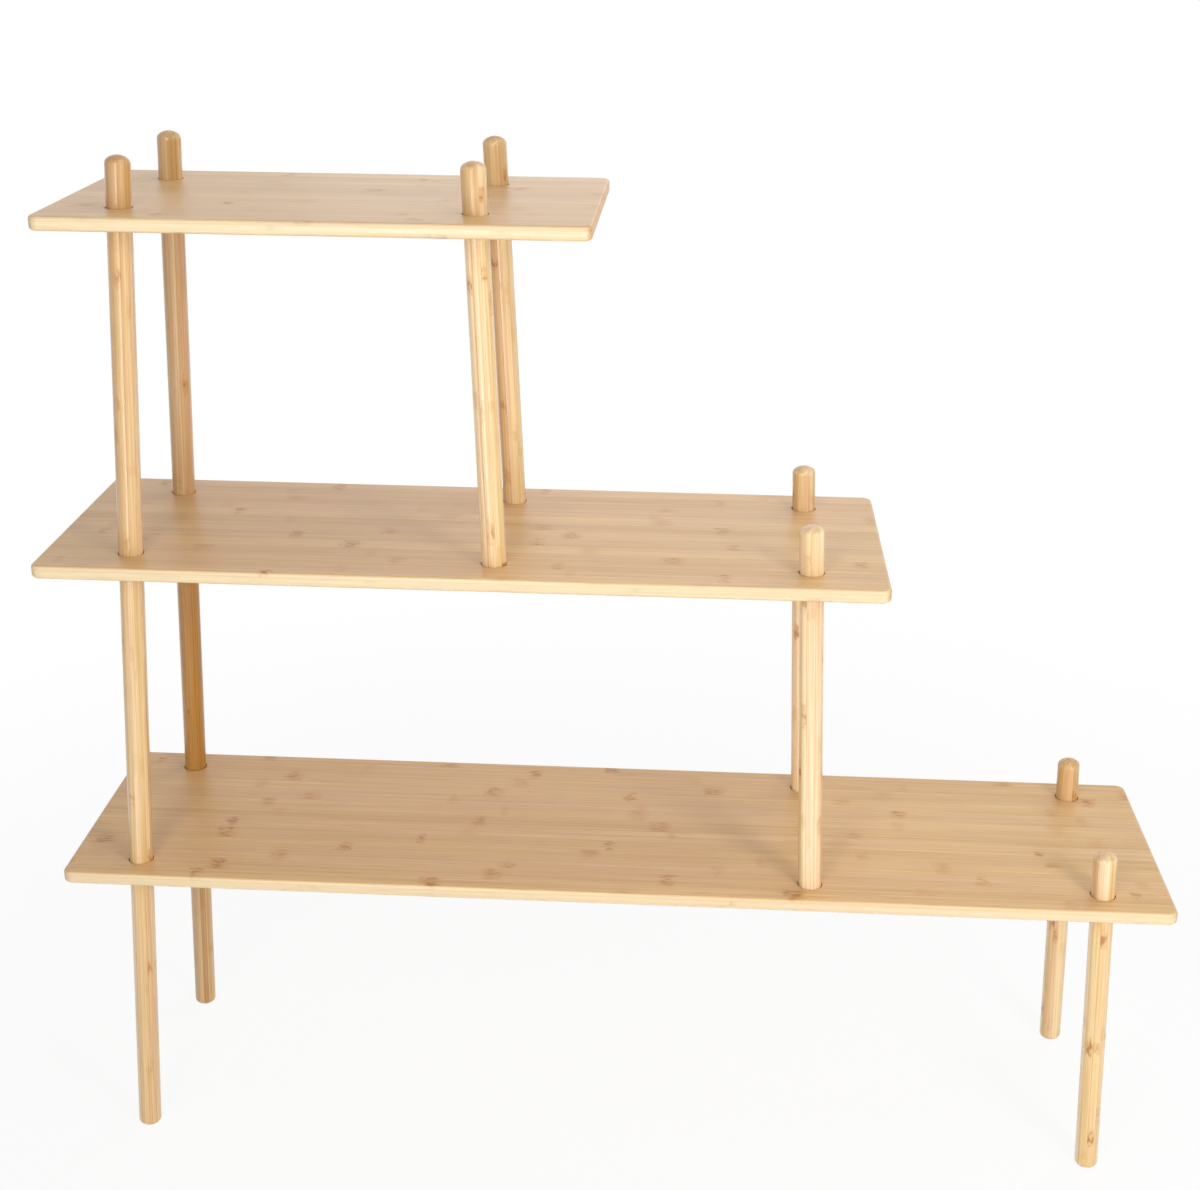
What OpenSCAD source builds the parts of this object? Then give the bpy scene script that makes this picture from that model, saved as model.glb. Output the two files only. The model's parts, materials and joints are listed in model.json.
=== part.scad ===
/* [Shelves] */
// Length of the bottom shelf, along X
bottom_len = 1000; // [850:5:1300]
// Length of the middle shelf
middle_len = 730; // [600:5:830]
// Length of the top shelf
top_len = 450; // [320:5:520]
// Depth of every shelf, along Y
shelf_depth = 250; // [200:5:350]
// Thickness of every shelf
shelf_t = 12; // [11:0.5:20]
// Radius of a shelf's corners, seen from above
shelf_corner_r = 9; // [6:0.5:25]
// Radius that eases every edge of a shelf
shelf_edge_r = 3; // [1:0.25:5]

/* [Posts] */
// Diameter of the legs, posts and finials
post_d = 21; // [18:0.5:26]
// Clear height under the bottom shelf
leg_gap = 272; // [150:1:400]
// Clear height between one shelf and the next
tier_gap = 284; // [180:1:360]
// Radius that rounds the foot of a leg
foot_r = 4.5; // [1:0.25:7]
// Wood cut off the highest side of a foot, to level it with the floor
level_cut = 0.1; // [0.05:0.05:0.5]
// Radius that eases the ends that sit in sockets
end_r = 0.5; // [0.2:0.1:1]

/* [Finials] */
// Height of a finial above its shelf
finial_h = 42; // [32:1:80]
// Radius of the crown on top of a finial
crown_r = 14; // [13.5:0.5:30]
// Radius that blends the crown into the side
shoulder_r = 5.5; // [3:0.25:7]

/* [Stance] */
// Lean of every post towards the middle along the shelves, in degrees
side_lean = 2.4; // [0:0.1:3]
// Lean of every post towards the middle across the shelves, in degrees
depth_lean = 1.8; // [0:0.1:2.5]
// Bottom shelf's left end to the left posts' centres
bottom_left_inset = 65; // [40:1:100]
// Bottom shelf's right end to the right legs' centres
bottom_right_inset = 61; // [40:1:100]
// Middle shelf's left end to the left posts' centres
middle_left_inset = 77; // [40:1:110]
// Middle shelf's right end to the centres of the posts that carry it there
middle_right_inset = 65; // [40:1:100]
// Top shelf's left end to the left posts' centres
top_left_inset = 61; // [40:1:100]
// Top shelf's right end to the centres of the posts that carry it there
top_right_inset = 97; // [40:1:120]
// Bottom shelf's front and back edges to the posts' centres
row_inset = 30; // [25:1:50]

/* [Joints] */
// Depth of the socket that a post's end sits in
socket_depth = 3; // [2:0.25:4]
// Clearance all round a post in its socket
socket_clearance = 0.8; // [0.4:0.1:1.5]
// Diameter of the bolts and screws
bolt_d = 6; // [5:0.5:8]
// Length of a joining bolt that is driven into the wood below
bolt_grip = 28; // [15:1:35]
// Length of a bolt or screw that reaches into the post above
bolt_reach = 12; // [8:0.5:16]
// Clearance all round a bolt where it passes through a shelf or washer
bolt_clearance = 0.5; // [0.3:0.1:1]
// Depth drilled past the end of a bolt
drill_spare = 1.5; // [0.5:0.5:5]
// Diameter of a threaded insert
insert_d = 10; // [9.5:0.5:12]
// Length of a threaded insert
insert_len = 14; // [12:0.5:20]
// Diameter of the insert's flange
flange_d = 13; // [12.5:0.5:15]
// Thickness of the insert's flange
flange_t = 1; // [0.6:0.1:1.5]
// Clearance all round metal that is fixed in wood or screwed into metal
fixed_clearance = 0.05; // [0.03:0.01:0.1]

/* [Screws from below] */
// Diameter of the washer under a screw's head
washer_d = 16; // [14:0.5:18]
// Thickness of the washer
washer_t = 1.2; // [0.8:0.1:2]
// Depth of the recess that the washer sits in
recess_depth = 2; // [1.5:0.25:3]
// Clearance all round the washer in its recess
recess_clearance = 0.5; // [0.2:0.1:1]
// Diameter of the screw's head
head_d = 11; // [10:0.5:13]
// Height of the screw's head
head_h = 3.2; // [2.5:0.1:4]
// Radius that rounds the head
head_r = 2; // [0.5:0.1:2.2]
// Width across the flats of the hexagon socket in the head
hex_w = 4; // [3:0.5:5]
// Depth of the hexagon socket in the head
hex_depth = 2; // [1:0.25:2.25]

/* [Hidden] */
$fn = 96;

BAMBOO_BOARD = [0.85, 0.69, 0.48];
BAMBOO_POST = [0.90, 0.75, 0.53];
ZINC = [0.74, 0.75, 0.75];
BRASS = [0.80, 0.66, 0.36];

// Every cut starts or ends this far outside the face it cuts
over = 1;
post_r = post_d / 2;
socket_r = post_r + socket_clearance;

// Heights of the top face of each shelf, and of its middle, where the insets are measured
bottom_z = leg_gap + shelf_t;
middle_z = bottom_z + tier_gap + shelf_t;
top_z = middle_z + tier_gap + shelf_t;
half_t = shelf_t / 2;

// Slopes of the leaning axes, as a distance moved for each millimetre of height
side_slope = tan(side_lean);
depth_slope = tan(depth_lean);
lean_slope = norm([side_slope, depth_slope]);

// Left ends of the shelves, and the columns' places on the floor, seen from the front.
// The left columns lean right as they rise, and all the others lean left.
bottom_end = -bottom_len / 2;
left_x = bottom_end + bottom_left_inset - side_slope * (bottom_z - half_t);
right_x = bottom_end + bottom_len - bottom_right_inset + side_slope * (bottom_z - half_t);
middle_end = left_x + side_slope * (middle_z - half_t) - middle_left_inset;
mid_x = middle_end + middle_len - middle_right_inset + side_slope * (middle_z - half_t);
top_end = left_x + side_slope * (top_z - half_t) - top_left_inset;
upper_x = top_end + top_len - top_right_inset + side_slope * (top_z - half_t);
row_y = shelf_depth / 2 - row_inset + depth_slope * (bottom_z - half_t);

// A column is its place on the floor and the slopes of its axis: [x, y, slope in X, slope in Y]
FRONT = -1;
BACK = 1;
ROWS = [FRONT, BACK];
function column(x, way, row) = [x, row * row_y, way * side_slope, -row * depth_slope];
function left_column(row) = column(left_x, 1, row);
function right_column(row) = column(right_x, -1, row);
function mid_column(row) = column(mid_x, -1, row);
function upper_column(row) = column(upper_x, -1, row);

// Columns joined through each shelf, with wood above and below it
bottom_joined = [for (row = ROWS) each [left_column(row), right_column(row)]];
middle_joined = [for (row = ROWS) each [left_column(row), mid_column(row)]];
top_joined = [for (row = ROWS) each [left_column(row), upper_column(row)]];
// Columns that start on a shelf and are screwed to it from below
bottom_screwed = [for (row = ROWS) mid_column(row)];
middle_screwed = [for (row = ROWS) upper_column(row)];

// Distance along a leaning axis from the floor to height z
function along(z) = z * norm([side_slope, depth_slope, 1]);
// Where wood that stands on a shelf starts, and where wood under a shelf ends
function foot_of(shelf_z) = along(shelf_z) - socket_depth;
function head_under(shelf_z) = along(shelf_z - shelf_t) + socket_depth;

// Puts its children at distance s along a column's axis, with Z turned along the axis
module on_axis(c, s) {
    translate([c[0], c[1], 0])
        rotate([-asin(c[3] / along(1)), atan(c[2]), 0])
            translate([0, 0, s])
                children();
}

// A round cut along Z, from z0 to z1
module bore(r, z0, z1) {
    translate([0, 0, z0]) cylinder(r = r, h = z1 - z0);
}

// A rectangle of the width and height given, with all four corners rounded
module eased_bar(width, t, r) {
    translate([-width / 2, r]) square([width, t - 2 * r]);
    translate([r - width / 2, 0]) square([width - 2 * r, t]);
    for (x = [r - width / 2, width / 2 - r], y = [r, t - r])
        translate([x, y]) circle(r);
}

// A board with rounded corners and eased edges: two crossing bars and a turned piece at each corner
module blank_board(len, depth, t, corner, ease) {
    run_x = len - 2 * corner;
    run_y = depth - 2 * corner;
    translate([-run_x / 2, 0, 0]) rotate([90, 0, 90])
        linear_extrude(run_x) eased_bar(depth, t, ease);
    translate([0, run_y / 2, 0]) rotate([90, 0, 0])
        linear_extrude(run_y) eased_bar(len, t, ease);
    for (x = [-run_x / 2, run_x / 2], y = [-run_y / 2, run_y / 2])
        translate([x, y, 0]) rotate_extrude()
            intersection() {
                eased_bar(2 * corner, t, ease);
                square([corner, t]);
            }
}

// A shelf: sockets for the wood above and below, washer recesses, and the bolts' holes
module shelf(left_end, len, shelf_z, joined, screwed) {
    under_z = shelf_z - shelf_t;
    difference() {
        translate([left_end + len / 2, 0, under_z])
            blank_board(len, shelf_depth, shelf_t, shelf_corner_r, shelf_edge_r);
        for (c = concat(joined, screwed)) {
            on_axis(c, along(shelf_z)) bore(socket_r, -socket_depth, over);
            on_axis(c, along(shelf_z)) bore(bolt_d / 2 + bolt_clearance, -shelf_t - over, over);
        }
        for (c = joined)
            on_axis(c, along(under_z)) bore(socket_r, -over, socket_depth);
        for (c = screwed)
            on_axis(c, along(under_z)) bore(washer_d / 2 + recess_clearance, -over, recess_depth);
    }
}

module bottom_board() {
    color(BAMBOO_BOARD) shelf(bottom_end, bottom_len, bottom_z, bottom_joined, bottom_screwed);
}

module middle_board() {
    color(BAMBOO_BOARD) shelf(middle_end, middle_len, middle_z, middle_joined, middle_screwed);
}

module top_board() {
    color(BAMBOO_BOARD) shelf(top_end, top_len, top_z, top_joined, []);
}

// Half section of a round rod of height h, its two rims rounded by low_r and high_r
module rod_section(h, low_r, high_r) {
    intersection() {
        square([post_r, h]);
        union() {
            translate([0, low_r]) square([post_r, h - low_r - high_r]);
            square([post_r - low_r, h / 2]);
            translate([0, h / 2]) square([post_r - high_r, h / 2]);
            translate([post_r - low_r, low_r]) circle(low_r);
            translate([post_r - high_r, h - high_r]) circle(high_r);
        }
    }
}

// Half section of a finial: a straight side, a shoulder arc and a crown arc that meet smoothly
module finial_section(h) {
    shoulder_x = post_r - shoulder_r;
    crown_y = h - crown_r;
    shoulder_y = crown_y + sqrt(pow(crown_r - shoulder_r, 2) - pow(shoulder_x, 2));
    // The crown arc ends on the line through both arcs' centres
    wedge = 2 * crown_r * [shoulder_x, shoulder_y - crown_y] / (crown_r - shoulder_r);
    intersection() {
        square([post_r, h]);
        union() {
            translate([0, end_r]) square([post_r, shoulder_y - end_r]);
            square([post_r - end_r, shoulder_y]);
            translate([post_r - end_r, end_r]) circle(end_r);
            translate([shoulder_x, shoulder_y]) circle(shoulder_r);
            translate([0, crown_y]) intersection() {
                circle(crown_r);
                polygon([[0, 0], wedge, [0, 2 * crown_r]]);
            }
        }
    }
}

// Holes drilled up into the lower end of a post or finial: the insert's, and the bolt's beyond it
module insert_holes() {
    bore(insert_d / 2 + fixed_clearance, -over, insert_len + fixed_clearance);
    bore(flange_d / 2 + fixed_clearance, -over, flange_t + fixed_clearance);
    bore(bolt_d / 2 + fixed_clearance, -over, bolt_reach + drill_spare);
}

// Hole drilled down into the upper end of a leg or post, for a joining bolt
module bolt_hole(h) {
    bore(bolt_d / 2 + fixed_clearance, h - bolt_grip - drill_spare, h + over);
}

// A leg, rounded at the foot and cut level with the floor
module leg(c) {
    // The rounded end starts just low enough for the floor to cut all of its flat
    sunk = (post_r - foot_r) * lean_slope + level_cut;
    h = head_under(bottom_z) + sunk;
    color(BAMBOO_POST) difference() {
        on_axis(c, -sunk) difference() {
            rotate_extrude() rod_section(h, foot_r, end_r);
            bolt_hole(h);
        }
        translate([c[0] - post_d, c[1] - post_d, -post_d]) cube([2 * post_d, 2 * post_d, post_d]);
    }
}

// A post that stands on one shelf and carries the next
module post(c, shelf_z, next_z) {
    h = head_under(next_z) - foot_of(shelf_z);
    color(BAMBOO_POST) on_axis(c, foot_of(shelf_z)) difference() {
        rotate_extrude() rod_section(h, end_r, end_r);
        insert_holes();
        bolt_hole(h);
    }
}

// A round-topped finial that stands on a shelf
module finial(c, shelf_z) {
    color(BAMBOO_POST) on_axis(c, foot_of(shelf_z)) difference() {
        rotate_extrude() finial_section(socket_depth + finial_h);
        insert_holes();
    }
}

// A double-ended bolt: driven into the wood under a shelf, and screwed into the insert above it
module joining_bolt(c, shelf_z) {
    tip = bolt_d / 4;
    s = head_under(shelf_z) - bolt_grip;
    h = foot_of(shelf_z) + bolt_reach - s;
    on_axis(c, s) rotate_extrude()
        polygon([[0, 0], [bolt_d / 2 - tip, 0], [bolt_d / 2, 2 * tip],
                 [bolt_d / 2, h - tip / 2], [bolt_d / 2 - tip / 2, h], [0, h]]);
}

module joining_bolts() {
    color(ZINC) {
        for (c = bottom_joined) joining_bolt(c, bottom_z);
        for (c = middle_joined) joining_bolt(c, middle_z);
        for (c = top_joined) joining_bolt(c, top_z);
    }
}

// A flanged, threaded insert in the lower end of the wood that stands on a shelf
module threaded_insert(c, shelf_z) {
    on_axis(c, foot_of(shelf_z)) difference() {
        union() {
            cylinder(d = insert_d, h = insert_len);
            cylinder(d = flange_d, h = flange_t);
        }
        bore(bolt_d / 2 + fixed_clearance, -over, insert_len + over);
    }
}

module threaded_inserts() {
    color(BRASS) {
        for (c = concat(bottom_joined, bottom_screwed)) threaded_insert(c, bottom_z);
        for (c = concat(middle_joined, middle_screwed)) threaded_insert(c, middle_z);
        for (c = top_joined) threaded_insert(c, top_z);
    }
}

// Distance along the axis to the floor of a washer recess
function recess_floor(shelf_z) = along(shelf_z - shelf_t) + recess_depth;

// A screw driven up through a shelf from below, with a rounded head and a hexagon socket
module post_screw(c, shelf_z) {
    seat = recess_floor(shelf_z) - washer_t;
    on_axis(c, seat) difference() {
        union() {
            cylinder(d = bolt_d, h = foot_of(shelf_z) + bolt_reach - seat);
            translate([0, 0, -head_h]) rotate_extrude() intersection() {
                square([head_d / 2, head_h]);
                union() {
                    square([head_d / 2 - head_r, head_h]);
                    translate([0, head_r]) square([head_d / 2, head_h]);
                    translate([head_d / 2 - head_r, head_r]) circle(head_r);
                }
            }
        }
        translate([0, 0, -head_h - over])
            cylinder(r = hex_w / 2 / cos(30), h = hex_depth + over, $fn = 6);
    }
}

module post_screws() {
    color(ZINC) {
        for (c = bottom_screwed) post_screw(c, bottom_z);
        for (c = middle_screwed) post_screw(c, middle_z);
    }
}

// A washer in its recess, under a screw's head
module screw_washer(c, shelf_z) {
    on_axis(c, recess_floor(shelf_z) - washer_t) difference() {
        cylinder(d = washer_d, h = washer_t);
        bore(bolt_d / 2 + bolt_clearance, -over, washer_t + over);
    }
}

module screw_washers() {
    color(ZINC) {
        for (c = bottom_screwed) screw_washer(c, bottom_z);
        for (c = middle_screwed) screw_washer(c, middle_z);
    }
}

bottom_board();
middle_board();
top_board();
leg(left_column(FRONT));  // leg_left_front
leg(left_column(BACK));  // leg_left_back
leg(right_column(FRONT));  // leg_right_front
leg(right_column(BACK));  // leg_right_back
post(left_column(FRONT), bottom_z, middle_z);  // lower_post_left_front
post(left_column(BACK), bottom_z, middle_z);  // lower_post_left_back
post(mid_column(FRONT), bottom_z, middle_z);  // lower_post_mid_front
post(mid_column(BACK), bottom_z, middle_z);  // lower_post_mid_back
post(left_column(FRONT), middle_z, top_z);  // upper_post_left_front
post(left_column(BACK), middle_z, top_z);  // upper_post_left_back
post(upper_column(FRONT), middle_z, top_z);  // upper_post_right_front
post(upper_column(BACK), middle_z, top_z);  // upper_post_right_back
finial(right_column(FRONT), bottom_z);  // finial_bottom_front
finial(right_column(BACK), bottom_z);  // finial_bottom_back
finial(mid_column(FRONT), middle_z);  // finial_middle_front
finial(mid_column(BACK), middle_z);  // finial_middle_back
finial(left_column(FRONT), top_z);  // finial_top_left_front
finial(left_column(BACK), top_z);  // finial_top_left_back
finial(upper_column(FRONT), top_z);  // finial_top_right_front
finial(upper_column(BACK), top_z);  // finial_top_right_back
joining_bolts();
threaded_inserts();
post_screws();
screw_washers();
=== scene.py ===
"""Looks of the stepped plant rack: lacquered bamboo boards on turned, laminated bamboo posts.

The CAD solids already have the real shapes, so they stay as they are. This script gives each one its
finish, and each wooden one a grain and marks of its own, and sets up the floor, the lamps and the camera.
Lengths are in metres and angles in degrees where nothing else is said. +X is the rack's right, +Y its back
and +Z up.
"""
import json
import math

import bpy
from mathutils import Euler, Matrix, Vector


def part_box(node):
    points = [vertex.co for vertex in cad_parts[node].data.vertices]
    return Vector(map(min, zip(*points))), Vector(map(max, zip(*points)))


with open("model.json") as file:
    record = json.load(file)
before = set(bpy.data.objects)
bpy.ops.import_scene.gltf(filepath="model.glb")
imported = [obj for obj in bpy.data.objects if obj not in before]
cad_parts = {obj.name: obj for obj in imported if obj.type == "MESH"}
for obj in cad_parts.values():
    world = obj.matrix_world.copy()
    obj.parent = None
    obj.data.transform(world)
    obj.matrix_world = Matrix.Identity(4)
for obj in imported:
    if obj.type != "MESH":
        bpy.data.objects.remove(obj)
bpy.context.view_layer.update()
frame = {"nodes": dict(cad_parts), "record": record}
scene = bpy.context.scene
MM = 0.001

# The photograph's camera, solved from the boards' corners, the posts' feet and the finials' tips. This is
# its place, how far it is turned down, left and over, and its lens and film width in millimetres.
CAMERA_PLACE = (0.0715, -1.5721, 1.1342)
CAMERA_DOWN = 21.296
CAMERA_LEFT = 3.326
CAMERA_ROLL = 0.498
CAMERA_LENS = 55.764
CAMERA_FILM = 36.0

# How far the posts lean from upright, up towards the rack's middle.
SIDE_LEAN = 2.4
DEPTH_LEAN = 1.8


def linear(red, green, blue):
    """A screen colour from 0 to 255 as the linear colour that shaders use."""
    def one(channel):
        share = channel / 255
        return share / 12.92 if share <= 0.04045 else ((share + 0.055) / 1.055) ** 2.4
    return one(red), one(green), one(blue), 1.0


class Reading:
    """What a shader socket gives at each point of a piece: a number, a place or a colour.

    Numbers take ordinary arithmetic."""

    def __init__(self, tree, socket):
        self.tree = tree
        self.socket = socket

    def __add__(self, other):
        return worked(self.tree, "ADD", self, other)

    __radd__ = __add__

    def __sub__(self, other):
        return worked(self.tree, "SUBTRACT", self, other)

    def __rsub__(self, other):
        return worked(self.tree, "SUBTRACT", other, self)

    def __mul__(self, other):
        return worked(self.tree, "MULTIPLY", self, other)

    def __truediv__(self, other):
        return worked(self.tree, "DIVIDE", self, other)

    def __abs__(self):
        return worked(self.tree, "ABSOLUTE", self)

    def root(self):
        """Its square root."""
        return worked(self.tree, "SQRT", self)

    def whole(self):
        """The whole number at or below it."""
        return worked(self.tree, "FLOOR", self)

    def rest(self):
        """What is left above that whole number, from 0 to 1."""
        return worked(self.tree, "FRACT", self)

    def between(self, low, high):
        """Low where it is 0 and high where it is 1."""
        return self * (high - low) + low

    def from_to(self, start, end):
        """0 at start and 1 at end, with a soft turn at both; start may be the larger one."""
        node = self.tree.nodes.new("ShaderNodeMapRange")
        node.interpolation_type = "SMOOTHSTEP"
        plug(self.tree, node.inputs["Value"], self)
        if start < end:
            ends = (start, end, 0.0, 1.0)
        else:
            ends = (end, start, 1.0, 0.0)
        for name, value in zip(("From Min", "From Max", "To Min", "To Max"), ends):
            node.inputs[name].default_value = value
        return Reading(self.tree, node.outputs["Result"])


def plug(tree, socket, value):
    """Links a socket to a reading, or sets it to a plain number or colour."""
    if isinstance(value, Reading):
        tree.links.new(value.socket, socket)
    else:
        socket.default_value = value


def worked(tree, operation, *values):
    """One step of arithmetic on readings and numbers."""
    node = tree.nodes.new("ShaderNodeMath")
    node.operation = operation
    for socket, value in zip(node.inputs, values):
        plug(tree, socket, value)
    return Reading(tree, node.outputs[0])


def parts_of(place):
    """The X, Y and Z of a place or a direction."""
    node = place.tree.nodes.new("ShaderNodeSeparateXYZ")
    plug(place.tree, node.inputs[0], place)
    return [Reading(place.tree, output) for output in node.outputs]


def place_at(tree, x, y, z):
    """The place with these X, Y and Z."""
    node = tree.nodes.new("ShaderNodeCombineXYZ")
    for socket, value in zip(node.inputs, (x, y, z)):
        plug(tree, socket, value)
    return Reading(tree, node.outputs[0])


def draw(tree, x, y, z):
    """A number from 0 to 1 drawn by chance, the same wherever the three numbers are the same."""
    node = tree.nodes.new("ShaderNodeTexWhiteNoise")
    node.noise_dimensions = "3D"
    plug(tree, node.inputs["Vector"], place_at(tree, x, y, z))
    return Reading(tree, node.outputs["Value"])


def cloudy(tree, x, y, z, detail=2.0):
    """A soft pattern from 0 to 1, about 0.5 on average, whose patches are about 1 across in X, Y and Z."""
    node = tree.nodes.new("ShaderNodeTexNoise")
    node.noise_dimensions = "3D"
    node.inputs["Scale"].default_value = 1.0
    node.inputs["Detail"].default_value = detail
    plug(tree, node.inputs["Vector"], place_at(tree, x, y, z))
    return Reading(tree, node.outputs[0])


# The sockets that the mixing node uses for colours, counted from 0.
MIX_SHARE = 0
MIX_FIRST = 6
MIX_SECOND = 7
MIX_RESULT = 2


def blended(tree, share, first, second):
    """The first colour where share is 0 and the second where it is 1."""
    node = tree.nodes.new("ShaderNodeMix")
    node.data_type = "RGBA"
    plug(tree, node.inputs[MIX_SHARE], share)
    plug(tree, node.inputs[MIX_FIRST], first)
    plug(tree, node.inputs[MIX_SECOND], second)
    return Reading(tree, node.outputs[MIX_RESULT])


def tinted(tree, wood, tints, **features):
    """Wood with the features coloured in, one after the other. A tint is a strength and a colour."""
    for name, feature in features.items():
        strength, colour = tints[name]
        wood = blended(tree, feature * strength, wood, colour)
    return wood


def new_pattern(name, *numbers):
    """A shared pattern, with its inputs and its output.

    It takes a place on the piece, the way the surface faces there and the named numbers of the piece, and
    gives a colour, a roughness and a height."""
    tree = bpy.data.node_groups.new(name, "ShaderNodeTree")
    taken = [("Place", "Vector"), ("Facing", "Vector")] + [(number, "Float") for number in numbers]
    given = [("Color", "Color"), ("Roughness", "Float"), ("Height", "Float")]
    for labels, way in ((taken, "INPUT"), (given, "OUTPUT")):
        for label, kind in labels:
            tree.interface.new_socket(label, in_out=way, socket_type="NodeSocket" + kind)
    start = tree.nodes.new("NodeGroupInput")
    end = tree.nodes.new("NodeGroupOutput")
    return tree, [Reading(tree, socket) for socket in start.outputs[:len(taken)]], end


# What each draw is for. As the last of its numbers, this keeps it apart from the others.
DRAW_JOINTS = 1.0
DRAW_POST_LAYERS = 2.0
DRAW_TONE = 3.0
DRAW_WARMTH = 6.0
DRAW_BOARD_STRIPS = 7.0
DRAW_POST_STRIPS = 8.0
DRAW_CREAM = 9.0
# The same for what is drawn for each mark, added to the piece's number.
DRAW_MARK_PLACE = 0.1
DRAW_MARK_LENGTH = 0.2
DRAW_MARK_SIDE = 0.3
DRAW_MARK_WIDTH = 0.4
DRAW_MARK_STRENGTH = 0.5

# The dashes in a mark, and the bends of its ragged outline: how long and how wide they are.
DASH = (8 * MM, 1.6 * MM)
BEND = (6 * MM, 3 * MM)
# How far the bends reach from side to side, as a share of the mark's half length.
BEND_REACH = 1.6
# How far apart two strips' dashes and bends are in their clouds.
DASH_STEP = 3.7
BEND_STEP = 2.9
# How many spacings a strip's marks may be moved along, so that no two strips match.
MARKS_SHIFT = 9.0


def bamboo_marks(tree, along, across, strip, piece, marks):
    """The marks that a culm's joints leave on a strip: a soft oval stain, with short dashes in its middle.

    Each strip has one every spacing or so, each with its own place, size and strength, and many are hardly
    seen. along and across are in metres, and across is 0 in the middle of the strip. marks holds their
    spacing, and the half length and half width of a large one."""
    spacing, half_length, half_width = marks
    count = along / spacing + draw(tree, strip, piece, DRAW_JOINTS) * MARKS_SHIFT
    joint = count.whole()

    def chance(purpose):
        return draw(tree, strip, joint, piece + purpose)

    dashes = cloudy(tree, along / DASH[0], across / DASH[1], strip * DASH_STEP + piece, 1.0)
    bends = cloudy(tree, along / BEND[0], across / BEND[1], strip * BEND_STEP + piece) - 0.5
    place = chance(DRAW_MARK_PLACE).between(0.3, 0.7)
    offset = (count.rest() - place) * spacing + bends * half_length * BEND_REACH
    aside = across - chance(DRAW_MARK_SIDE).between(-0.5, 0.5) * half_width
    long = offset / (chance(DRAW_MARK_LENGTH).between(0.4, 1.0) * half_length)
    wide = aside / (chance(DRAW_MARK_WIDTH).between(0.5, 1.0) * half_width)
    away = (long * long + wide * wide).root()
    strength = chance(DRAW_MARK_STRENGTH)
    mottled = dashes.from_to(0.25, 0.65).between(0.4, 1.0)
    stain = away.from_to(1.35, 0.25) * strength.between(0.3, 1.0) * mottled
    core = away.from_to(1.0, 0.2) * dashes.from_to(0.49, 0.59) * strength.from_to(0.25, 0.85)
    return stain, core


# How far the streaks are moved along from strip to strip and from piece to piece, in lengths of a streak.
STRIP_DRIFT = 5.3
PIECE_DRIFT = 3.1


def drift_of(strip, piece):
    """How far a strip's streaks are moved along, so that no two strips match."""
    return strip * STRIP_DRIFT + piece * PIECE_DRIFT


# The fixed third number of the clouds that break seams up.
SEAM_LEVEL = 4.0


def broken(tree, seam, along, strip, run, fade):
    """A seam that shows only here and there, in runs of about this length, which fade in and out."""
    return seam * cloudy(tree, along / run, strip, SEAM_LEVEL, 1.0).from_to(*fade)


# How far apart the fibres' ends are.
FIBRE_SPACING = 0.8 * MM


def end_grain(tree, a, b, piece):
    """The cut ends of the fibres: fine dots."""
    node = tree.nodes.new("ShaderNodeTexVoronoi")
    node.inputs["Scale"].default_value = 1.0
    plug(tree, node.inputs["Vector"], place_at(tree, a / FIBRE_SPACING, b / FIBRE_SPACING, piece))
    return Reading(tree, node.outputs["Distance"]).from_to(0.5, 0.15)


def paleness(tone, broad, middling, fine, shares):
    """How pale the wood is, from 0 to 1: its strip's tone and three kinds of streaks, by their shares."""
    parts = (tone, broad, middling, fine.from_to(0.3, 0.7))
    return sum(part * share for part, share in zip(parts, shares))


def roughness_of(fine, ends, figures):
    """How rough the wood is. The figures are that of smooth wood, and what fine streaks and cut ends add."""
    smooth, streaky, cut = figures
    return smooth + fine * streaky + ends * cut


# How far streaks stand up, and how far the middles of marks and the fibres' ends lie low, as shares of the
# grain's depth.
FINE_RISE = 0.5
MIDDLING_RISE = 0.2
CORE_DIP = 0.5
FIBRE_DIP = 0.6


def relief(fine, middling, sunk_seam, core, fibres):
    """The height of the surface, as a share of the grain's depth."""
    return fine * FINE_RISE + middling * MIDDLING_RISE - sunk_seam - core * CORE_DIP - fibres * FIBRE_DIP


# A board's strips and its layers.
BOARD_STRIP = 20 * MM
BOARD_LAYER = 4.2 * MM
# How far apart the numbers of its layers' strips start, which is more than there are in one layer.
BOARD_NUMBERING = 40.0
# Its marks: their spacing, and the half length and half width of a large one.
BOARD_MARKS = (195 * MM, 12 * MM, 24 * MM)
# How near a seam it starts to darken and is darkest. Then the seam's runs: how long they are, where in
# their cloud they fade in, and how deep they lie.
BOARD_SEAM = (0.5 * MM, 0.1 * MM)
BOARD_SEAM_RUN = 50 * MM
BOARD_SEAM_FADE = (0.4, 0.65)
BOARD_SEAM_DIP = 0.8
# How long and how wide its streaks, its patches of the other kind of wood, its lines and its flecks are.
BOARD_BROAD = (300 * MM, 9 * MM)
BOARD_MIDDLING = (200 * MM, 1.8 * MM)
BOARD_FINE = (80 * MM, 0.8 * MM)
BOARD_PATCH = (120 * MM, 5 * MM)
BOARD_LINE = (200 * MM, 1.8 * MM)
BOARD_FLECK = (35 * MM, 2.2 * MM)
# What keeps its patches and its flecks apart from its lines, added to the piece's number.
PATCH_LEVEL = 3.0
FLECK_LEVEL = 7.0
# The shares of the tone and of broad, middling and fine streaks in how pale it is.
BOARD_SHARES = (0.3, 0.2, 0.26, 0.24)
# Its roughness, and how much rougher fine streaks and cut ends are.
BOARD_ROUGHNESS = (0.42, 0.1, 0.2)
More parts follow.
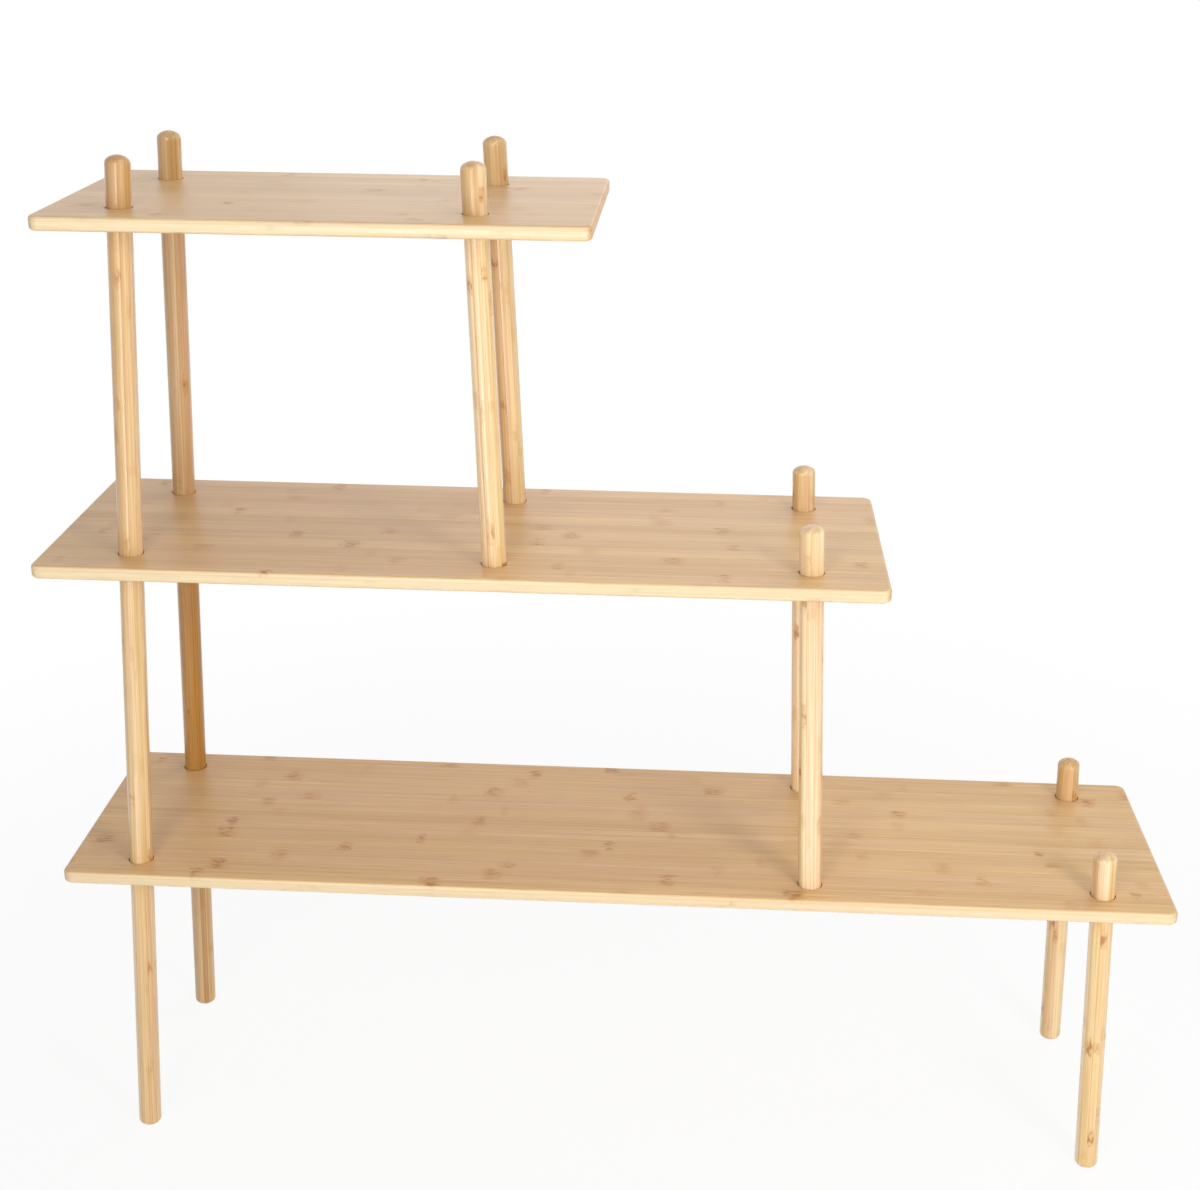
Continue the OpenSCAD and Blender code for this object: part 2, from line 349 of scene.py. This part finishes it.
# Its two kinds of wood and the layers seen at its front and back edges, each from dark to pale, and its
# cut ends.
BOARD_PINKISH = (linear(195, 147, 99), linear(238, 201, 155))
BOARD_YELLOWISH = (linear(195, 150, 87), linear(238, 204, 143))
BOARD_CREAM = (linear(226, 208, 172), linear(229, 217, 181))
BOARD_CUT_ENDS = linear(150, 108, 70)
BOARD_TINTS = {
    "line": (0.16, linear(168, 120, 72)),
    "fleck": (0.35, linear(198, 138, 96)),
    "stain": (0.75, linear(194, 128, 50)),
    "core": (0.65, linear(142, 84, 26)),
    "seam": (0.18, linear(150, 106, 66)),
    "glue": (0.3, linear(198, 152, 100)),
}


def board_pattern():
    """Edge-glued bamboo: long strips in three layers, each strip with its own tone, fibres and marks."""
    tree, (place, facing, piece), out = new_pattern("board_bamboo_pattern", "Piece")
    x, y, z = parts_of(place)
    face_x, face_y, face_z = (abs(part) for part in parts_of(facing))
    level = z / BOARD_LAYER + 0.5
    layer = level.whole()
    count = y / BOARD_STRIP + draw(tree, layer, piece, DRAW_BOARD_STRIPS)
    strip = count.whole() + layer * BOARD_NUMBERING
    across = (count.rest() - 0.5) * BOARD_STRIP
    tone = draw(tree, strip, piece, DRAW_TONE)
    warmth = draw(tree, strip, piece, DRAW_WARMTH)
    drift = drift_of(strip, piece)

    def streaks(size, depth=None, detail=2.0):
        """Streaks along the board. They change with the depth in it, unless one depth is given."""
        length, width = size
        if depth is None:
            depth = z / width
        return cloudy(tree, x / length + drift, y / width, depth, detail)

    broad = streaks(BOARD_BROAD).from_to(0.25, 0.75)
    middling = streaks(BOARD_MIDDLING).from_to(0.3, 0.7)
    fine = streaks(BOARD_FINE)
    patch = streaks(BOARD_PATCH, piece + PATCH_LEVEL, 1.0).from_to(0.3, 0.7)
    line = streaks(BOARD_LINE, piece).from_to(0.56, 0.74)
    fleck = streaks(BOARD_FLECK, piece + FLECK_LEVEL).from_to(0.54, 0.74)
    stain, core = bamboo_marks(tree, x, across, strip, piece, BOARD_MARKS)
    seam = (0.5 * BOARD_STRIP - abs(across)).from_to(*BOARD_SEAM)
    seam = broken(tree, seam, x, strip, BOARD_SEAM_RUN, BOARD_SEAM_FADE)
    glue = abs(level.rest() - 0.5).from_to(0.42, 0.5) * face_z.from_to(0.7, 0.3)
    ends = face_x.from_to(0.5, 0.85)
    fibres = end_grain(tree, y, z, piece)

    pale = paleness(tone, broad, middling, fine, BOARD_SHARES)
    pinkish = blended(tree, pale, *BOARD_PINKISH)
    yellowish = blended(tree, pale, *BOARD_YELLOWISH)
    wood = blended(tree, warmth * 0.5 + patch * 0.5, pinkish, yellowish)
    wood = tinted(tree, wood, BOARD_TINTS, line=line, fleck=fleck, stain=stain, core=core, seam=seam)
    cream = blended(tree, draw(tree, layer, piece, DRAW_CREAM), *BOARD_CREAM)
    wood = blended(tree, face_y.from_to(0.35, 0.95) * pale.between(0.42, 0.82), wood, cream)
    wood = tinted(tree, wood, BOARD_TINTS, glue=glue)
    wood = blended(tree, ends * fibres.between(0.2, 0.65), wood, BOARD_CUT_ENDS)
    plug(tree, out.inputs["Color"], wood)
    plug(tree, out.inputs["Roughness"], roughness_of(fine, ends, BOARD_ROUGHNESS))
    plug(tree, out.inputs["Height"], relief(fine, middling, seam * BOARD_SEAM_DIP, core, ends * fibres))
    return tree


# A post's layers and the strips in them.
POST_LAYER = 5.3 * MM
POST_STRIP = 13 * MM
# How far apart the numbers of its columns of strips start, which is more than it has layers.
POST_NUMBERING = 30.0
# Its marks, as on a board.
POST_MARKS = (115 * MM, 13 * MM, 8 * MM)
# Its seams, as on a board, but the first two numbers are shares of a layer, counted from its middle.
POST_SEAM = (0.43, 0.5)
POST_SEAM_RUN = 40 * MM
POST_SEAM_FADE = (0.3, 0.55)
POST_SEAM_DIP = 0.6
# Its streaks, their shares and its roughness, as on a board.
POST_BROAD = (300 * MM, 4 * MM)
POST_MIDDLING = (140 * MM, 1.5 * MM)
POST_FINE = (40 * MM, 0.6 * MM)
POST_SHARES = (0.42, 0.2, 0.26, 0.12)
POST_ROUGHNESS = (0.38, 0.1, 0.15)
# Its two kinds of wood and the browner wood that some posts are blended with, each from dark to pale, and
# its cut ends. The browner wood also stands for painted shade on those posts.
POST_PINKISH = (linear(214, 168, 118), linear(255, 232, 196))
POST_YELLOWISH = (linear(214, 173, 110), linear(255, 236, 190))
POST_BROWNER_AND_SHADED = (linear(155, 98, 26), linear(200, 146, 60))
POST_CUT_ENDS = linear(184, 132, 84)
POST_TINTS = {
    "stain": (0.7, linear(194, 132, 66)),
    "core": (0.6, linear(150, 96, 42)),
    "seam": (0.4, linear(176, 122, 66)),
}


def post_pattern():
    """Turned laminated bamboo: thick layers side by side, seen as straight bands of different tone."""
    tree, (place, facing, piece, browner_and_shaded), out = new_pattern("post_bamboo_pattern", "Piece", "Browner_and_shaded")
    x, y, z = parts_of(place)
    face_z = abs(parts_of(facing)[2])
    row = x / POST_LAYER + draw(tree, piece, 1.0, DRAW_POST_LAYERS)
    layer = row.whole()
    column = y / POST_STRIP + draw(tree, layer, piece, DRAW_POST_STRIPS)
    strip = layer + column.whole() * POST_NUMBERING
    across = (column.rest() - 0.5) * POST_STRIP
    tone = draw(tree, strip, piece, DRAW_TONE).from_to(0.05, 0.95)
    warmth = draw(tree, strip, piece, DRAW_WARMTH).from_to(0.2, 0.8)
    drift = drift_of(strip, piece)

    def streaks(size, detail=2.0):
        """Streaks along the post."""
        length, width = size
        return cloudy(tree, x / width, y / width, z / length + drift, detail)

    broad = streaks(POST_BROAD).from_to(0.3, 0.7)
    middling = streaks(POST_MIDDLING, 1.0).from_to(0.38, 0.62)
    fine = streaks(POST_FINE)
    stain, core = bamboo_marks(tree, z, across, strip, piece, POST_MARKS)
    seam = abs(row.rest() - 0.5).from_to(*POST_SEAM)
    seam = broken(tree, seam, z, strip, POST_SEAM_RUN, POST_SEAM_FADE)
    ends = face_z.from_to(0.35, 0.85)
    fibres = end_grain(tree, x, y, piece)

    pale = paleness(tone, broad, middling, fine, POST_SHARES)
    pinkish = blended(tree, pale, *POST_PINKISH)
    yellowish = blended(tree, pale, *POST_YELLOWISH)
    wood = blended(tree, warmth, pinkish, yellowish)
    # Blends in browner wood: partly the piece's own tone, partly painted shade.
    wood = blended(tree, browner_and_shaded, wood, blended(tree, pale, *POST_BROWNER_AND_SHADED))
    wood = tinted(tree, wood, POST_TINTS, stain=stain, core=core, seam=seam)
    wood = blended(tree, ends * fibres.between(0.2, 0.5), wood, POST_CUT_ENDS)
    plug(tree, out.inputs["Color"], wood)
    plug(tree, out.inputs["Roughness"], roughness_of(fine, ends, POST_ROUGHNESS))
    plug(tree, out.inputs["Height"], relief(fine, middling, seam * POST_SEAM_DIP, core, ends * fibres))
    return tree


def emptied(owner):
    """The node tree of a material or world, with nothing in it."""
    owner.use_nodes = True
    owner.node_tree.nodes.clear()
    return owner.node_tree


def new_finish(name):
    """An empty material with its surface shader."""
    finish = bpy.data.materials.new(name)
    tree = emptied(finish)
    shader = tree.nodes.new("ShaderNodeBsdfPrincipled")
    output = tree.nodes.new("ShaderNodeOutputMaterial")
    tree.links.new(shader.outputs["BSDF"], output.inputs["Surface"])
    return finish, tree, shader


def bumped(tree, shader, height, depth):
    """Makes the surface look raised by height times depth, in metres."""
    bump = tree.nodes.new("ShaderNodeBump")
    bump.inputs["Distance"].default_value = depth
    plug(tree, bump.inputs["Height"], height)
    tree.links.new(bump.outputs["Normal"], shader.inputs["Normal"])


def middle_of(node):
    """The middle of a CAD node's box."""
    low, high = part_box(node)
    return (Vector(low) + Vector(high)) / 2


def post_turn(node, spin):
    """The turn of a post's pattern: spun about the post's own line, then leant as the post leans."""
    side = math.radians(SIDE_LEAN if "left" in node else -SIDE_LEAN)
    depth = math.radians(DEPTH_LEAN if node.endswith("front") else -DEPTH_LEAN)
    stretch = math.hypot(math.tan(side), 1.0)
    lean = Euler((-math.atan(math.tan(depth) / stretch), side, 0.0)).to_matrix()
    return (lean @ Matrix.Rotation(math.radians(spin), 3, "Z")).to_euler()


# How deep the grain is at most.
GRAIN_DEPTH = 0.06 * MM
# The clear lacquer on boards and on turned wood, and the sheen of the wood under it.
BOARD_LACQUER = {"Coat Weight": 0.65, "Coat Roughness": 0.38, "Specular IOR Level": 0.35}
POST_LACQUER = {"Coat Weight": 1.0, "Coat Roughness": 0.18, "Specular IOR Level": 0.1}


def lacquered_bamboo(node, pattern, lacquer, turn, numbers):
    """Bamboo under clear satin lacquer, with the pattern centred and turned for one piece."""
    finish, tree, shader = new_finish(node + "_finish")
    source = tree.nodes.new("ShaderNodeTexCoord")
    mapping = tree.nodes.new("ShaderNodeMapping")
    mapping.vector_type = "TEXTURE"
    mapping.inputs["Location"].default_value = middle_of(node)
    mapping.inputs["Rotation"].default_value = turn
    tree.links.new(source.outputs["Object"], mapping.inputs["Vector"])
    grain = tree.nodes.new("ShaderNodeGroup")
    grain.node_tree = pattern
    tree.links.new(mapping.outputs["Vector"], grain.inputs["Place"])
    tree.links.new(source.outputs["Normal"], grain.inputs["Facing"])
    for label, number in numbers.items():
        grain.inputs[label].default_value = number
    tree.links.new(grain.outputs["Color"], shader.inputs["Base Color"])
    tree.links.new(grain.outputs["Roughness"], shader.inputs["Roughness"])
    bumped(tree, shader, Reading(tree, grain.outputs["Height"]), GRAIN_DEPTH)
    for label, value in lacquer.items():
        shader.inputs[label].default_value = value
    return finish


# How far a post's layers are turned about it, for each step of the piece's number.
SPIN_STEP = 67.0
# How much browner than the rest some pieces are in the photograph: partly the wood's own tone and partly
# painted shade on pieces that stand in shade.
BROWNER_AND_SHADED = {
    "leg_left_front": 0.32, "leg_left_back": 0.55, "leg_right_front": 0.05, "leg_right_back": 0.25,
    "lower_post_left_front": 0.32, "lower_post_left_back": 0.91, "upper_post_left_front": 0.36,
    "upper_post_left_back": 0.4, "upper_post_right_back": 0.3, "finial_bottom_front": 0.15,
    "finial_bottom_back": 0.5, "finial_middle_back": 0.3, "finial_top_left_front": 0.6,
    "finial_top_left_back": 0.55, "finial_top_right_front": 0.3, "finial_top_right_back": 0.45}


def dress_wood():
    """Gives every board, leg, post and finial its own lacquered bamboo."""
    looks = {
        "board_bamboo": (board_pattern(), BOARD_LACQUER),
        "post_bamboo": (post_pattern(), POST_LACQUER),
    }
    wooden = [part for part in frame["record"]["subparts"] if part["material_slot"] in looks]
    for number, part in enumerate(wooden, start=1):
        node = part["node"]
        slot = part["material_slot"]
        pattern, lacquer = looks[slot]
        numbers = {"Piece": float(number)}
        turn = (0.0, 0.0, 0.0)
        if slot == "post_bamboo":
            # Its browner share, which is partly painted shade.
            numbers["Browner_and_shaded"] = BROWNER_AND_SHADED.get(node, 0.0)
            turn = post_turn(node, SPIN_STEP * number)
        finish = lacquered_bamboo(node, pattern, lacquer, turn, numbers)
        frame["nodes"][node].material_slots[0].material = finish


# The metals' colour and roughness.
ZINC = (linear(214, 216, 218), 0.25)
BRASS = (linear(214, 184, 112), 0.22)
# Their mottle: how large its patches are, how dark the dark ones get and how much rougher the bright ones
# are.
MOTTLE_SIZE = 1.5 * MM
MOTTLE_DARK = 0.8
MOTTLE_ROUGH = 0.12
# The fine lines in them: how far they reach, how far apart they are and how deep.
LINE_REACH = 6 * MM
LINE_SPACING = 0.15 * MM
LINE_DEPTH = 0.01 * MM


def turned_metal(name, colour, roughness):
    """Plain metal with a fine, uneven sheen."""
    finish, tree, shader = new_finish(name)
    source = tree.nodes.new("ShaderNodeTexCoord")
    x, y, z = parts_of(Reading(tree, source.outputs["Object"]))
    mottle = cloudy(tree, x / MOTTLE_SIZE, y / MOTTLE_SIZE, z / MOTTLE_SIZE, 3.0)
    lines = cloudy(tree, x / LINE_REACH, y / LINE_REACH, z / LINE_SPACING, 1.0)
    dark = tuple(MOTTLE_DARK * channel for channel in colour[:3]) + (1.0,)
    plug(tree, shader.inputs["Base Color"], blended(tree, mottle.from_to(0.3, 0.7), dark, colour))
    plug(tree, shader.inputs["Roughness"], roughness + mottle * MOTTLE_ROUGH)
    bumped(tree, shader, lines, LINE_DEPTH)
    shader.inputs["Metallic"].default_value = 1.0
    return finish


def dress_hardware():
    """Gives the bolts, screws and washers bright zinc plate, and the inserts brass."""
    finishes = {
        "zinc_plated_steel": turned_metal("zinc_plated_steel_finish", *ZINC),
        "insert_brass": turned_metal("insert_brass_finish", *BRASS),
    }
    for part in frame["record"]["subparts"]:
        finish = finishes.get(part["material_slot"])
        if finish:
            frame["nodes"][part["node"]].material_slots[0].material = finish


def seen_directly(tree):
    """1 for what is seen, also mirrored or through glass, and 0 for light that falls on the rack."""
    path = tree.nodes.new("ShaderNodeLightPath")
    seen = Reading(tree, path.outputs["Is Camera Ray"])
    for name in ("Is Glossy Ray", "Is Transmission Ray"):
        seen = worked(tree, "MAXIMUM", seen, Reading(tree, path.outputs[name]))
    return seen


# How strong the soft light from all round is, next to the white that is seen.
AMBIENT = 0.3
# The floor's half width and its grey.
FLOOR_HALF = 30.0
FLOOR_GREY = (0.9, 0.9, 0.9, 1.0)
# How much plain white is mixed into the floor near the rack, how far from the rack's middle that share
# starts to grow, and how far out all is plain white.
FLOOR_LIFT = 0.9
FLOOR_CLEAR = (0.5, 1.5)


def add_surroundings():
    """A white room: white where it is seen, and a plain soft light from all round."""
    world = bpy.data.worlds.new("white_room")
    scene.world = world
    tree = emptied(world)
    sky = tree.nodes.new("ShaderNodeBackground")
    output = tree.nodes.new("ShaderNodeOutputWorld")
    tree.links.new(sky.outputs["Background"], output.inputs["Surface"])
    sky.inputs["Color"].default_value = (1.0, 1.0, 1.0, 1.0)
    plug(tree, sky.inputs["Strength"], seen_directly(tree).between(AMBIENT, 1.0))


def add_floor():
    """A pale floor that keeps the rack's shadow and fades to white away from it."""
    mesh = bpy.data.meshes.new("studio_floor")
    corners = [(-FLOOR_HALF, -FLOOR_HALF, 0), (FLOOR_HALF, -FLOOR_HALF, 0), (FLOOR_HALF, FLOOR_HALF, 0),
               (-FLOOR_HALF, FLOOR_HALF, 0)]
    mesh.from_pydata(corners, [], [(0, 1, 2, 3)])
    floor = bpy.data.objects.new("studio_floor", mesh)
    scene.collection.objects.link(floor)
    finish = bpy.data.materials.new("pale_floor")
    tree = emptied(finish)
    matt = tree.nodes.new("ShaderNodeBsdfDiffuse")
    matt.inputs["Color"].default_value = FLOOR_GREY
    white = tree.nodes.new("ShaderNodeEmission")
    both = tree.nodes.new("ShaderNodeMixShader")
    output = tree.nodes.new("ShaderNodeOutputMaterial")
    source = tree.nodes.new("ShaderNodeTexCoord")
    x, y, _ = parts_of(Reading(tree, source.outputs["Object"]))
    away = (x * x + y * y).root().from_to(*FLOOR_CLEAR)
    plug(tree, both.inputs[0], seen_directly(tree) * away.between(FLOOR_LIFT, 1.0))
    tree.links.new(matt.outputs[0], both.inputs[1])
    tree.links.new(white.outputs[0], both.inputs[2])
    tree.links.new(both.outputs[0], output.inputs["Surface"])
    mesh.materials.append(finish)


def add_softbox(name, place, aim, size, watts, lights=True, shines=True):
    """A soft lamp at a place, turned to face the aim. Its size is its width and height.

    One that only lights isn't mirrored in the lacquer. One that only shines is mirrored there and lights
    nothing."""
    lamp = bpy.data.lights.new(name, "AREA")
    lamp.shape = "RECTANGLE"
    lamp.size, lamp.size_y = size
    lamp.energy = watts
    box = bpy.data.objects.new(name, lamp)
    scene.collection.objects.link(box)
    box.location = place
    box.rotation_euler = (Vector(place) - Vector(aim)).to_track_quat("Z", "Y").to_euler()
    box.visible_diffuse = lights
    box.visible_glossy = shines


def add_lamps():
    """Two tall soft boxes in front, one above, one behind and a faint glow at the back.

    The stronger one in front, on the right, only lights. Its sheen is a dimmer box in the same place, so
    that no board mirrors it as plain white."""
    front_aim = (0.0, 0.0, 0.8)
    right = {"place": (1.0, -1.25, 0.95), "aim": front_aim, "size": (0.42, 1.6)}
    add_softbox("right_softbox", **right, watts=16.0, shines=False)
    add_softbox("right_sheen", **right, watts=9.0, lights=False)
    add_softbox("left_softbox", place=(-0.5, -1.7, 0.95), aim=front_aim, size=(0.5, 1.8), watts=15.5)
    add_softbox("top_softbox", place=(0.6, -0.1, 2.4), aim=(0.3, -0.1, 0.0), size=(1.4, 1.0), watts=7.5)
    add_softbox("back_softbox", place=(1.6, 1.6, 1.9), aim=(0.1, 0.0, 0.5), size=(1.8, 1.0), watts=17.5,
                shines=False)
    add_softbox("backdrop_glow", place=(-0.1, 2.2, 1.1), aim=(-0.1, 0.0, 1.1), size=(1.3, 0.45), watts=1.2)


def add_camera():
    """The photograph's view."""
    lens = bpy.data.cameras.new("photo_camera")
    lens.sensor_fit = "HORIZONTAL"
    lens.sensor_width = CAMERA_FILM
    lens.lens = CAMERA_LENS
    camera = bpy.data.objects.new("photo_camera", lens)
    scene.collection.objects.link(camera)
    turn = (Matrix.Rotation(math.radians(CAMERA_LEFT), 4, "Z")
            @ Matrix.Rotation(math.radians(90 - CAMERA_DOWN), 4, "X")
            @ Matrix.Rotation(math.radians(CAMERA_ROLL), 4, "Z"))
    camera.matrix_world = Matrix.Translation(CAMERA_PLACE) @ turn
    scene.camera = camera


add_camera()
add_surroundings()
add_floor()
add_lamps()
dress_wood()
dress_hardware()
scene.view_settings.view_transform = "Standard"
